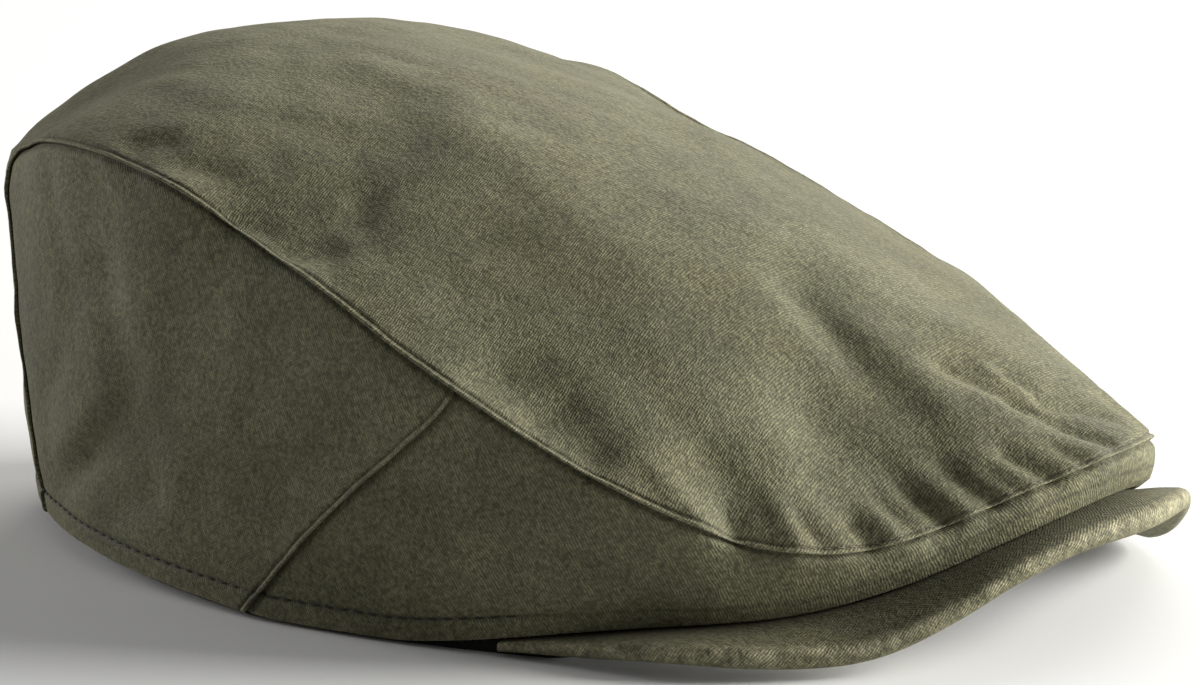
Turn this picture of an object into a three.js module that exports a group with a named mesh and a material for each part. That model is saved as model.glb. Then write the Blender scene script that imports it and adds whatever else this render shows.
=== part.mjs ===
// Waxed cotton flat cap in millimetres, +Z up. The wearer faces -Y and the wearer's right side is -X.
// A one-piece top panel covers the crown and runs down the back, between two rear seams.
// A front panel wraps the forehead between two slanting seams, and a rear panel closes each side.
// A stiffened peak is sewn under the front panel, and a sweatband lines the head opening.
//
// A place on the crown is an angle round the head, 0 at the front, 90 at the right ear and 180 at
// the back, and a level: 0 at the hem, 1 at the seam line over the sides, 2 at the top.
import * as THREE from 'three';

// Crown and head opening
const HEM_LENGTH = 230;
const HEM_WIDTH = 172;
const CROWN_HEIGHT = 99;
const CROWN_TOP_BACK = 67;
const CROWN_TOP_RADIUS = 210;
const CROWN_TOP_SOFTNESS = 0.35;
const FRONT_RISE = 22;
const WALL_BULGE = 1.6;
const CLOTH = 1.8;
const SEAM_GAP = 0.3;
const HEM_LIFT = 0.6;

// Seams between the panels, as angles round the head
const SLANT_SEAM_AT_HEM = 103.5;
const SLANT_SEAM_AT_TOP = 78;
const SLANT_CURVE = 1.38;
const REAR_SEAM = 148;
const CORNER_RADIUS = 8;
const CORNER_PULL = 2;
const BEND_REACH = 18;
const BEND_FADE = 2.5;
const SIDE_SEAM_GAP = 0.45;

// Sweatband
const BAND_HEIGHT = 26;
const BAND_THICKNESS = 1.2;
const BAND_LEAN_FRONT = 10;
const BAND_LEAN_BACK = 3;
const BAND_SHOW = 0.4;

// Peak
const PEAK_WIDTH = 16;
const PEAK_THICKNESS = 4.2;
const PEAK_END_THICKNESS = 1.75;
const PEAK_TAPER = 6;
const PEAK_END = 74;
const PEAK_DIP = 3.5;
const PEAK_STATIONS = 48;
const PEAK_COLUMNS = 5;
const PEAK_NOSE_TURNS = [45, 0, -45];

// Folds and dents
const FOLD_DEPTH = 3;
const FOLD_WIDTH = 10;
const FOLD_FREE_LEVEL = 0.25;

// Crown sections. Hem and ridge are shares of the hem's oval. Lift is a share of the front rise, and
// raises the hem, the peak and the seam line above them. Wall is the height from the hem to the seam
// line, as a share of the crown's height. Round is how late the crown turns down towards the seam
// line, and soft is a share of the distance over which the cloth bends there.
const SECTIONS = [
  { angle: 0, hem: 1.02, lift: 1.12, ridge: 1.035, wall: 0.0885, round: 5.2, soft: 0.1 },
  { angle: 20, hem: 1.0, lift: 0.87, ridge: 1.012, wall: 0.095, round: 5.4, soft: 0.1 },
  { angle: 40, hem: 0.972, lift: 0.436, ridge: 1.04, wall: 0.125, round: 5.0, soft: 0.1 },
  { angle: 60, hem: 0.985, lift: 0.28, ridge: 1.08, wall: 0.263, round: 2.4, soft: 0.1 },
  { angle: 80, hem: 0.975, lift: 0.045, ridge: 1.04, wall: 0.528, round: 1.4, soft: 0.1 },
  { angle: 100, hem: 0.97, lift: 0.0, ridge: 0.98, wall: 0.729, round: 1.6, soft: 0.1 },
  { angle: 120, hem: 0.975, lift: 0.105, ridge: 1.01, wall: 0.827, round: 1.8, soft: 0.1 },
  { angle: 140, hem: 0.985, lift: 0.173, ridge: 1.052, wall: 0.79, round: 2.0, soft: 0.2 },
  { angle: 160, hem: 1.01, lift: 0.19, ridge: 1.077, wall: 0.709, round: 2.3, soft: 0.5 },
  { angle: 180, hem: 1.03, lift: 0.19, ridge: 1.09, wall: 0.69, round: 2.8, soft: 1.0 },
];

// The peak's width, and how far its outer edge dips below its inner edge, in shares of the peak's
// width and of its dip
const PEAK_SECTIONS = [
  { angle: 0, width: 0.68, dip: -0.05 },
  { angle: 15, width: 0.64, dip: -0.3 },
  { angle: 30, width: 0.76, dip: 1.3 },
  { angle: 45, width: 0.86, dip: 0.9 },
  { angle: 60, width: 0.66, dip: -0.1 },
  { angle: 75, width: 0.1, dip: 0 },
];

// Folds and dents, each a valley from one place on the crown to another, or a puff where the depth is
// negative. Width and depth are shares of the fold width and depth. Mirror is the share of the depth
// that the other side has too.
const FOLDS = [
  { angle: 119, level: 1.06, toAngle: 112, toLevel: 1.14, width: 0.7, depth: 0.35, mirror: 0.7 },
  { angle: 104, level: 1.04, toAngle: 97, toLevel: 1.07, width: 0.9, depth: 0.5, mirror: 0.7 },
  { angle: 86, level: 1.3, toAngle: 88, toLevel: 1.25, width: 1.0, depth: 0.4, mirror: 0 },
  { angle: 69, level: 1.1, toAngle: 65, toLevel: 1.04, width: 0.8, depth: 0.45, mirror: 0.7 },
  { angle: 50, level: 1.0, toAngle: 50, toLevel: 1.09, width: 0.6, depth: 0.9, mirror: 0.6 },
  { angle: 37, level: 1.01, toAngle: 38, toLevel: 1.07, width: 0.5, depth: 0.6, mirror: 0.6 },
  { angle: 32, level: 1.15, toAngle: 32, toLevel: 1.06, width: 0.9, depth: 0.6, mirror: 0 },
  { angle: 27, level: 1.01, toAngle: 28, toLevel: 1.07, width: 0.5, depth: 0.5, mirror: 0.6 },
  { angle: 20, level: 1.01, toAngle: 22, toLevel: 1.07, width: 0.5, depth: 0.45, mirror: 0.6 },
  { angle: 16, level: 1.29, toAngle: 20, toLevel: 1.15, width: 1.2, depth: 0.6, mirror: 0 },
  { angle: 12, level: 1.01, toAngle: 13, toLevel: 1.05, width: 0.5, depth: 0.35, mirror: 0.6 },
  { angle: 5, level: 1.17, toAngle: 1, toLevel: 1.06, width: 0.6, depth: 0.4, mirror: 0 },
  { angle: -2, level: 1.13, toAngle: -6, toLevel: 1.05, width: 0.6, depth: 0.4, mirror: 0 },
  { angle: -38, level: 1.6, toAngle: -15, toLevel: 1.5, width: 3.0, depth: 0.5, mirror: 0 },
  { angle: -84, level: 1.22, toAngle: -62, toLevel: 1.2, width: 2.2, depth: 0.9, mirror: 0 },
  { angle: -20, level: 1.12, toAngle: -56, toLevel: 1.14, width: 2.0, depth: -0.9, mirror: 0 },
  { angle: -10, level: 1.02, toAngle: -34, toLevel: 1.04, width: 1.2, depth: -0.8, mirror: 0 },
  { angle: 144, level: 1.14, toAngle: 147, toLevel: 1.3, width: 1.6, depth: 0.8, mirror: 0.5 },
  { angle: 157, level: 0.8, toAngle: 156, toLevel: 0.5, width: 1.2, depth: 0.5, mirror: 0.5 },
  { angle: 126, level: 0.96, toAngle: 124, toLevel: 0.72, width: 0.9, depth: 0.45, mirror: 0.6 },
  { angle: 140, level: 0.12, toAngle: 118, toLevel: 0.34, width: 0.8, depth: 0.6, mirror: 0.6 },
  { angle: 125, level: 0.13, toAngle: 117, toLevel: 0.22, width: 0.6, depth: 0.4, mirror: 0.6 },
];

const radians = THREE.MathUtils.degToRad;
const lerp = THREE.MathUtils.lerp;
const clamp = THREE.MathUtils.clamp;

// A column of a table with evenly spaced rows, as a smooth even function of the angle.
function smoothColumn(rows, name) {
  const last = rows.length - 1;
  const span = rows[last].angle;
  const weights = rows.map((_, wave) => {
    let sum = 0;
    rows.forEach((row, index) => {
      const share = index === 0 || index === last ? 0.5 : 1;
      sum += share * row[name] * Math.cos((Math.PI * wave * index) / last);
    });
    const half = wave === 0 || wave === last ? 0.5 : 1;
    return (2 * half * sum) / last;
  });
  return (angle) => {
    const turn = (Math.PI * angle) / span;
    return weights.reduce((sum, weight, wave) => sum + weight * Math.cos(wave * turn), 0);
  };
}

const hemShare = smoothColumn(SECTIONS, 'hem');
const liftShare = smoothColumn(SECTIONS, 'lift');
const ridgeShare = smoothColumn(SECTIONS, 'ridge');
const wallShare = smoothColumn(SECTIONS, 'wall');
const roundness = smoothColumn(SECTIONS, 'round');
const softness = smoothColumn(SECTIONS, 'soft');
const peakShare = smoothColumn(PEAK_SECTIONS, 'width');
const peakDip = smoothColumn(PEAK_SECTIONS, 'dip');

// A point on the head's oval, scaled by a share.
function oval(angle, share, z) {
  const turn = radians(angle);
  const x = -Math.sin(turn) * (HEM_WIDTH / 2) * share;
  const y = -Math.cos(turn) * (HEM_LENGTH / 2) * share;
  return new THREE.Vector3(x, y, z);
}

// How far the hem is lifted above the resting plane, over the peak at the front.
function hemLift(angle) {
  return FRONT_RISE * Math.max(0, liftShare(angle));
}

// The hem's lower edge and the seam line where the wall meets the crown.
function hemPoint(angle) {
  return oval(angle, hemShare(angle), HEM_LIFT + hemLift(angle));
}

function ridgePoint(angle) {
  const hem = hemPoint(angle);
  return oval(angle, ridgeShare(angle), hem.z + CROWN_HEIGHT * wallShare(angle));
}

// How far the crown has turned down at a share of the way from its top to the seam line. It starts
// level at the top, whatever the power.
function turnedDown(reach, power) {
  const soft = CROWN_TOP_SOFTNESS;
  const turned = (share) => Math.hypot(share, soft) ** power - soft ** power;
  return turned(reach) / turned(1);
}

// The crown's outer surface without folds, with a sharp bend at the seam line.
function sharpCrown(angle, level) {
  const ridge = ridgePoint(angle);
  if (level <= 1) {
    const bulge = WALL_BULGE * 4 * level * (1 - level);
    const outward = new THREE.Vector3(ridge.x, ridge.y, 0).normalize();
    return hemPoint(angle).lerp(ridge, level).addScaledVector(outward, bulge);
  }
  const reach = 2 - level;
  const top = new THREE.Vector3(0, CROWN_TOP_BACK, CROWN_HEIGHT);
  const span = Math.hypot(ridge.x, ridge.y - CROWN_TOP_BACK);
  const bowl = span ** 2 / (2 * CROWN_TOP_RADIUS);
  const rest = CROWN_HEIGHT - ridge.z - bowl;
  const point = top.clone().lerp(ridge, reach);
  point.z = CROWN_HEIGHT - bowl * reach ** 2 - rest * turnedDown(reach, roundness(angle));
  return point;
}

// Distance up the cloth from the seam line, in millimetres, negative on the wall below it, and back.
function wallLength(angle) {
  return sharpCrown(angle, 1).distanceTo(sharpCrown(angle, 0));
}

function domeLength(angle) {
  return sharpCrown(angle, 1).distanceTo(sharpCrown(angle, 2));
}

function distanceUp(angle, level) {
  return (level - 1) * (level > 1 ? domeLength(angle) : wallLength(angle));
}

function levelAt(angle, distance) {
  return clamp(1 + distance / (distance > 0 ? domeLength(angle) : wallLength(angle)), 0, 2);
}

// The crown's outer surface with its bend eased, as the mean of a place and two neighbours.
function crown(angle, level) {
  const distance = distanceUp(angle, level);
  const reach = BEND_REACH * softness(angle);
  const spread = reach * Math.max(0, 1 - (distance / (BEND_FADE * reach)) ** 2);
  const point = sharpCrown(angle, level).multiplyScalar(0.5);
  point.addScaledVector(sharpCrown(angle, levelAt(angle, distance - spread)), 0.25);
  return point.addScaledVector(sharpCrown(angle, levelAt(angle, distance + spread)), 0.25);
}

// The outward direction at a place on the crown, from neighbours a short step away.
const STEP = 4;
const ANGLE_STEP = 1.2;
function outwardAt(angle, level) {
  const distance = distanceUp(angle, level);
  if (distance > domeLength(angle) - 2 * STEP) {
    return new THREE.Vector3(0, 0, 1);
  }
  const along = crown(angle + ANGLE_STEP, level).sub(crown(angle - ANGLE_STEP, level));
  const above = crown(angle, levelAt(angle, distance + STEP));
  return above.sub(crown(angle, levelAt(angle, distance - STEP))).cross(along).normalize();
}

// A fold as a line through space, on one side of the cap.
function foldLine(fold, side, share) {
  const from = crown(side * fold.angle, fold.level);
  const to = crown(side * fold.toAngle, fold.toLevel);
  return {
    line: new THREE.Line3(from, to),
    width: FOLD_WIDTH * fold.width,
    depth: FOLD_DEPTH * fold.depth * share,
  };
}
const foldLines = FOLDS.flatMap((fold) => [foldLine(fold, 1, 1), foldLine(fold, -1, fold.mirror)]);

// How deep the folds press into the cloth at a point. They fade out at the stiff hem.
function foldDepth(point, level) {
  const nearest = new THREE.Vector3();
  let depth = 0;
  for (const fold of foldLines) {
    fold.line.closestPointToPoint(point, true, nearest);
    const distance = nearest.distanceTo(point) / fold.width;
    depth += fold.depth * Math.exp(-(distance ** 2));
  }
  return depth * clamp(level / FOLD_FREE_LEVEL, 0, 1);
}

// The rounded corner where the seam line turns from the side down the back. A place near it moves
// towards the rear panel, so that the straight grid lines of the panels bend round the corner.
function roundCorner(angle, level) {
  const side = Math.sign(angle) || 1;
  const corner = crown(REAR_SEAM, 1);
  const perDegree = corner.distanceTo(crown(REAR_SEAM - 1, 1));
  const across = (Math.abs(angle) - REAR_SEAM) * perDegree;
  const upward = distanceUp(REAR_SEAM, level);
  const distance = Math.hypot(across, upward);
  if (distance >= CORNER_RADIUS) {
    return [angle, level];
  }
  const pull = CORNER_PULL * (1 - distance / CORNER_RADIUS) ** 2;
  return [angle - (side * pull) / perDegree, levelAt(REAR_SEAM, upward - pull)];
}

// A point of the cloth, at a depth below the crown's outer surface.
function cloth(angle, level, depth) {
  const [placedAngle, placedLevel] = roundCorner(angle, level);
  const point = crown(placedAngle, placedLevel);
  const pressed = foldDepth(point, placedLevel) + depth;
  return point.addScaledVector(outwardAt(placedAngle, placedLevel), -pressed);
}

// A closed body from an outer and an inner skin that share their triangles, with a rim round the edge.
function closedBody(name, material, outer, inner, triangles) {
  const count = outer.length;
  const edges = new Map();
  for (const [a, b, c] of triangles) {
    for (const [from, to] of [[a, b], [b, c], [c, a]]) {
      edges.set(`${from},${to}`, [from, to]);
    }
  }
  const faces = [];
  for (const [a, b, c] of triangles) {
    faces.push([a, b, c], [a + count, c + count, b + count]);
  }
  for (const [from, to] of edges.values()) {
    if (!edges.has(`${to},${from}`)) {
      faces.push([from, from + count, to + count], [from, to + count, to]);
    }
  }
  return meshOf(name, material, [...outer, ...inner], faces);
}

function meshOf(name, material, points, faces) {
  const geometry = new THREE.BufferGeometry().setFromPoints(points);
  geometry.setIndex(faces.flat());
  geometry.computeVertexNormals();
  const mesh = new THREE.Mesh(geometry, material);
  mesh.name = name;
  return mesh;
}

// Evenly spaced numbers from one value to another, both included.
function spaced(from, to, steps) {
  return Array.from({ length: steps + 1 }, (_, index) => lerp(from, to, index / steps));
}

// Triangles between two rows of vertex numbers. The upper row has as many columns as the lower, or
// half as many.
function strip(lower, upper) {
  const triangles = [];
  const halved = upper.length < lower.length;
  for (let column = 0; column < upper.length - 1; column += 1) {
    if (halved) {
      const [a, b, c] = lower.slice(2 * column, 2 * column + 3);
      triangles.push([a, upper[column], b], [b, upper[column], upper[column + 1]]);
      triangles.push([b, upper[column + 1], c]);
    } else {
      const [a, b] = [lower[column], lower[column + 1]];
      triangles.push([a, upper[column], b], [b, upper[column], upper[column + 1]]);
    }
  }
  return triangles;
}

// A sheet of crown cloth from rows of places, each an angle and a level.
class Sheet {
  constructor() {
    this.places = [];
    this.triangles = [];
  }

  row(angles, level) {
    return angles.map((angle) => this.places.push([angle, level]) - 1);
  }

  join(lower, upper) {
    this.triangles.push(...strip(lower, upper));
  }

  body(name, material) {
    const skin = (depth) => this.places.map(([angle, level]) => cloth(angle, level, depth));
    return closedBody(name, material, skin(0), skin(CLOTH), this.triangles);
  }
}

const FRONT_COLUMNS = 58;
const SIDE_COLUMNS = 18;
const BACK_COLUMNS = 20;
const DOME_LEVELS = [1, 1.03, 1.08, 1.14, 1.21, 1.29];
const INNER_DOME_LEVELS = [1.39, 1.5, 1.62, 1.74, 1.87];
const WALL_ROWS = 8;
const BAND_COLUMNS = 60;
const BAND_ROWS = 2;

const frontAngles = spaced(-SLANT_SEAM_AT_TOP, SLANT_SEAM_AT_TOP, FRONT_COLUMNS);
const sideAngles = spaced(SLANT_SEAM_AT_TOP, REAR_SEAM, SIDE_COLUMNS);
const backAngles = spaced(REAR_SEAM, 360 - REAR_SEAM, BACK_COLUMNS);

// The crown and the back in one sheet: rings of the dome, closed round the head, and a flap that
// hangs from them between the rear seams.
function topPanel(material) {
  const sheet = new Sheet();
  const otherSide = sideAngles.map((angle) => -angle).reverse();
  const ring = [...frontAngles, ...sideAngles.slice(1), ...backAngles.slice(1)];
  const lastSide = otherSide.slice(1, -1).map((angle) => angle + 360);
  const closedRing = [...ring, ...lastSide];
  const addRing = (angles, level) => {
    const row = sheet.row(angles.map((angle) => (angle > 180 ? angle - 360 : angle)), level);
    return [...row, row[0]];
  };
  let below = addRing(closedRing, DOME_LEVELS[0]);
  const seamRow = below;
  for (const level of DOME_LEVELS.slice(1)) {
    const above = addRing(closedRing, level);
    sheet.join(below, above);
    below = above;
  }
  const wideRing = closedRing.filter((_, index) => index % 2 === 0);
  for (const level of INNER_DOME_LEVELS) {
    const above = addRing(wideRing, level);
    sheet.join(below, above);
    below = above;
  }
  const [top] = sheet.row([0], 2);
  for (let column = 0; column < below.length - 1; column += 1) {
    sheet.triangles.push([below[column], top, below[column + 1]]);
  }
  const firstBack = closedRing.indexOf(REAR_SEAM);
  let upper = seamRow.slice(firstBack, firstBack + BACK_COLUMNS + 1);
  for (let row = WALL_ROWS - 1; row >= 0; row -= 1) {
    const angles = backAngles.map((angle) => (angle > 180 ? angle - 360 : angle));
    const lower = sheet.row(angles, row / WALL_ROWS);
    sheet.join(lower, upper);
    upper = lower;
  }
  return sheet.body('top_panel', material);
}

// The angle of a slanting seam at a level of the wall.
function slantSeam(level) {
  return lerp(SLANT_SEAM_AT_TOP, SLANT_SEAM_AT_HEM, (1 - level) ** SLANT_CURVE);
}

// Degrees that make the gap of a side seam, at a place on the wall.
function gapDegrees(angle, level) {
  return SIDE_SEAM_GAP / crown(angle + 1, level).distanceTo(crown(angle, level));
}

// The level one seam gap below the seam line.
function topLevel(angle) {
  return levelAt(angle, -SEAM_GAP);
}

function frontPanel(material) {
  const sheet = new Sheet();
  const rows = spaced(0, 1, WALL_ROWS).map((share) => {
    const spread = slantSeam(share) / SLANT_SEAM_AT_TOP;
    return frontAngles.map((angle) => {
      const placed = angle * spread;
      return sheet.places.push([placed, share * topLevel(placed)]) - 1;
    });
  });
  for (let row = 0; row < WALL_ROWS; row += 1) {
    sheet.join(rows[row], rows[row + 1]);
  }
  return sheet.body('front_panel', material);
}

function rearPanel(name, side, material) {
  const sheet = new Sheet();
  const rows = spaced(0, 1, WALL_ROWS).map((share) => {
    const front = slantSeam(share);
    const from = front + gapDegrees(front, share);
    const to = REAR_SEAM - gapDegrees(REAR_SEAM, share);
    const placed = sideAngles.map((angle) => {
      const across = (angle - SLANT_SEAM_AT_TOP) / (REAR_SEAM - SLANT_SEAM_AT_TOP);
      const seamed = lerp(from, to, across);
      return sheet.places.push([side * seamed, share * topLevel(seamed)]) - 1;
    });
    return side > 0 ? placed : placed.reverse();
  });
  for (let row = 0; row < WALL_ROWS; row += 1) {
    sheet.join(rows[row], rows[row + 1]);
  }
  return sheet.body(name, material);
}

// The hem's plan curve, moved inward, at a height.
function hemInset(angle, inset, z) {
  const point = oval(angle, hemShare(angle), z);
  const ahead = oval(angle + ANGLE_STEP, hemShare(angle + ANGLE_STEP), z);
  const behind = oval(angle - ANGLE_STEP, hemShare(angle - ANGLE_STEP), z);
  const inward = ahead.sub(behind).normalize().cross(new THREE.Vector3(0, 0, 1));
  return point.addScaledVector(inward, inset);
}

// A strip that stands inside the hem on a flat lower edge. It leans inward most over the forehead,
// and is no taller than the seam line there.
function sweatband(material) {
  const angles = spaced(0, 360, BAND_COLUMNS).slice(0, BAND_COLUMNS);
  const rows = spaced(0, 1, BAND_ROWS);
  const points = (inset) => rows.flatMap((share) => angles.map((angle) => {
    const hidden = Math.cos(radians(angle)) > 0 ? PEAK_THICKNESS : BAND_SHOW;
    const foot = Math.max(0, hemLift(angle) - hidden);
    const head = Math.min(foot + BAND_HEIGHT, ridgePoint(angle).z);
    const lean = lerp(BAND_LEAN_BACK, BAND_LEAN_FRONT, clamp(liftShare(angle), 0, 1));
    return hemInset(angle, inset + lean * share, lerp(foot, head, share));
  }));
  const triangles = [];
  for (let row = 0; row < BAND_ROWS; row += 1) {
    const numbers = angles.map((_, column) => row * BAND_COLUMNS + column);
    const lower = [...numbers, numbers[0]];
    triangles.push(...strip(lower, lower.map((number) => number + BAND_COLUMNS)));
  }
  const outside = CLOTH + 2 * SEAM_GAP;
  return closedBody('sweatband', material, points(outside), points(outside + BAND_THICKNESS), triangles);
}

// The peak's cross-section at an angle: a top face, a rounded nose and a bottom face, tucked under
// the front panel at its inner end.
function peakSection(angle) {
  const along = Math.min(1, Math.abs(angle) / PEAK_END);
  const width = PEAK_WIDTH * peakShare(angle);
  const thickness = lerp(PEAK_THICKNESS, PEAK_END_THICKNESS, along ** PEAK_TAPER);
  const nose = thickness / 2;
  const tuck = CLOTH + SEAM_GAP;
  const inner = HEM_LIFT + hemLift(angle) - SEAM_GAP;
  const dip = PEAK_DIP * peakDip(angle);
  const topAt = (out) => inner - dip * Math.max(0, out / PEAK_WIDTH);
  const flat = spaced(-tuck, width - nose, PEAK_COLUMNS);
  const top = flat.map((out) => [out, topAt(out)]);
  const bottom = flat.map((out) => [out, topAt(out) - thickness]).reverse();
  const centre = topAt(width - nose) - nose;
  const round = PEAK_NOSE_TURNS.map((turn) => {
    const out = width - nose + nose * Math.cos(radians(turn));
    return [out, centre + nose * Math.sin(radians(turn))];
  });
  return [...top, ...round, ...bottom].map(([out, z]) => hemInset(angle, -out, z));
}

function peak(material) {
  const sections = spaced(-PEAK_END, PEAK_END, PEAK_STATIONS).map(peakSection);
  const corners = sections[0].length;
  const faces = [];
  for (let station = 0; station < PEAK_STATIONS; station += 1) {
    for (let corner = 0; corner < corners; corner += 1) {
      const next = (corner + 1) % corners;
      const [a, b] = [station * corners + corner, station * corners + next];
      const [c, d] = [a + corners, b + corners];
      faces.push([a, c, b], [b, c, d]);
    }
  }
  const last = PEAK_STATIONS * corners;
  for (let corner = 1; corner < corners - 1; corner += 1) {
    faces.push([0, corner, corner + 1], [last, last + corner + 1, last + corner]);
  }
  return meshOf('peak', material, sections.flat(), faces);
}

const waxedCotton = new THREE.MeshStandardMaterial({ color: 0x6a6552, roughness: 0.62, metalness: 0 });
const bandTwill = new THREE.MeshStandardMaterial({ color: 0x171614, roughness: 0.85, metalness: 0 });

const cap = new THREE.Group();
cap.name = 'flat_cap';
cap.add(topPanel(waxedCotton));
cap.add(frontPanel(waxedCotton));
cap.add(rearPanel('rear_panel_right', 1, waxedCotton));
cap.add(rearPanel('rear_panel_left', -1, waxedCotton));
cap.add(sweatband(bandTwill));
cap.add(peak(waxedCotton));

// The origin lies under the middle of the cap, on the plane that it rests on.
const bounds = new THREE.Box3().setFromObject(cap);
cap.position.y = -(bounds.min.y + bounds.max.y) / 2;

export default cap;
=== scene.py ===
# The looks of a waxed cotton flat cap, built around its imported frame.
# Shapes are worked out in millimetres, in the frame of the cap's own source, and placed in metres.
# A place on the crown is an angle round the head, 0 at the front, 90 at the right ear and 180 at
# the back, and a level: 0 at the hem, 1 at the seam line over the sides, 2 at the top.
import math

import bpy
import numpy as np
from mathutils import Matrix, Vector, kdtree, noise


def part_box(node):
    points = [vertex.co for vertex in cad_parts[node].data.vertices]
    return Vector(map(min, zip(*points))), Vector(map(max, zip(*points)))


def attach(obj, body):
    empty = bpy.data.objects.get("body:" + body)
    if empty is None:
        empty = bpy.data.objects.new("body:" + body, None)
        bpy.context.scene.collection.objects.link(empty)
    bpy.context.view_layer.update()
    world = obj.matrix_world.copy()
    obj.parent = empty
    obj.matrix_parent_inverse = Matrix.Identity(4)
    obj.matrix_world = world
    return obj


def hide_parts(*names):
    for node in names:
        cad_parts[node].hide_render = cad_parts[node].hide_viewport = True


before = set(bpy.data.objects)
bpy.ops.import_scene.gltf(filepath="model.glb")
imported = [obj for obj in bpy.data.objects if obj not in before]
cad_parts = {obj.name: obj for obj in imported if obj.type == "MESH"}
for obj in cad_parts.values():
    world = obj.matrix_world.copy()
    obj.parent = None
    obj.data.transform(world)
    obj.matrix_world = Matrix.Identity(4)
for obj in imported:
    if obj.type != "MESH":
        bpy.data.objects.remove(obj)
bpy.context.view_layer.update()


def table(columns, *rows):
    """A short table as a dictionary of its named columns."""
    names = columns.split()
    return {name: np.array([row[k] for row in rows], float) for k, name in enumerate(names)}


# Sizes of the cap in millimetres, as in its source
HEM_LENGTH = 230
HEM_WIDTH = 172
CROWN_HEIGHT = 99
CROWN_TOP_BACK = 67
CROWN_TOP_RADIUS = 210
CROWN_TOP_SOFTNESS = 0.35
FRONT_RISE = 22
WALL_BULGE = 1.6
CLOTH = 1.8
SEAM_GAP = 0.3
HEM_LIFT = 0.6
SLANT_SEAM_AT_HEM = 103.5
SLANT_SEAM_AT_TOP = 78
SLANT_CURVE = 1.38
REAR_SEAM = 148
CORNER_RADIUS = 8
CORNER_PULL = 2
BEND_REACH = 18
BEND_FADE = 2.5
BAND_HEIGHT = 26
BAND_THICKNESS = 1.2
BAND_LEAN_FRONT = 10
BAND_LEAN_BACK = 3
BAND_SHOW = 0.4
PEAK_WIDTH = 16
PEAK_THICKNESS = 4.2
PEAK_END_THICKNESS = 1.75
PEAK_TAPER = 6
PEAK_END = 74
PEAK_DIP = 3.5
FOLD_DEPTH = 3
FOLD_WIDTH = 10
FOLD_FREE_LEVEL = 0.25
STEP = 4
ANGLE_STEP = 1.2

# A wall lower than this, in millimetres, bulges less than in the source, down to a least share
FULL_BULGE_HEIGHT = 30
LEAST_BULGE = 0.2

SECTIONS = table(
    "angle hem lift ridge wall round soft",
    (0, 1.02, 1.12, 1.035, 0.0885, 5.2, 0.1),
    (20, 1.0, 0.87, 1.012, 0.095, 5.4, 0.1),
    (40, 0.972, 0.436, 1.04, 0.125, 5.0, 0.1),
    (60, 0.985, 0.28, 1.08, 0.263, 2.4, 0.1),
    (80, 0.975, 0.045, 1.04, 0.528, 1.4, 0.1),
    (100, 0.97, 0.0, 0.98, 0.729, 1.6, 0.1),
    (120, 0.975, 0.105, 1.01, 0.827, 1.8, 0.1),
    (140, 0.985, 0.173, 1.052, 0.79, 2.0, 0.2),
    (160, 1.01, 0.19, 1.077, 0.709, 2.3, 0.5),
    (180, 1.03, 0.19, 1.09, 0.69, 2.8, 1.0),
)

PEAK_SECTIONS = table(
    "angle width dip",
    (0, 0.68, -0.05),
    (15, 0.64, -0.3),
    (30, 0.76, 1.3),
    (45, 0.86, 0.9),
    (60, 0.66, -0.1),
    (75, 0.1, 0),
)

# The main folds, as in the source: from one place to another, with width and depth as shares, and
# the share of the depth that the other side has too.
FOLDS = table(
    "angle level to_angle to_level width depth mirror",
    (119, 1.06, 112, 1.14, 0.7, 0.35, 0.7),
    (104, 1.04, 97, 1.07, 0.9, 0.5, 0.7),
    (86, 1.3, 88, 1.25, 1.0, 0.4, 0),
    (69, 1.1, 65, 1.04, 0.8, 0.45, 0.7),
    (50, 1.0, 50, 1.09, 0.6, 0.9, 0.6),
    (37, 1.01, 38, 1.07, 0.5, 0.6, 0.6),
    (32, 1.15, 32, 1.06, 0.9, 0.6, 0),
    (27, 1.01, 28, 1.07, 0.5, 0.5, 0.6),
    (20, 1.01, 22, 1.07, 0.5, 0.45, 0.6),
    (16, 1.29, 20, 1.15, 1.2, 0.6, 0),
    (12, 1.01, 13, 1.05, 0.5, 0.35, 0.6),
    (5, 1.17, 1, 1.06, 0.6, 0.4, 0),
    (-2, 1.13, -6, 1.05, 0.6, 0.4, 0),
    (-38, 1.6, -15, 1.5, 3.0, 0.5, 0),
    (-84, 1.22, -62, 1.2, 2.2, 0.9, 0),
    (-20, 1.12, -56, 1.14, 2.0, -0.9, 0),
    (-10, 1.02, -34, 1.04, 1.2, -0.8, 0),
    (144, 1.14, 147, 1.3, 1.6, 0.8, 0.5),
    (157, 0.8, 156, 0.5, 1.2, 0.5, 0.5),
    (126, 0.96, 124, 0.72, 0.9, 0.45, 0.6),
    (140, 0.12, 118, 0.34, 0.8, 0.6, 0.6),
    (125, 0.13, 117, 0.22, 0.6, 0.4, 0.6),
)

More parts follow.
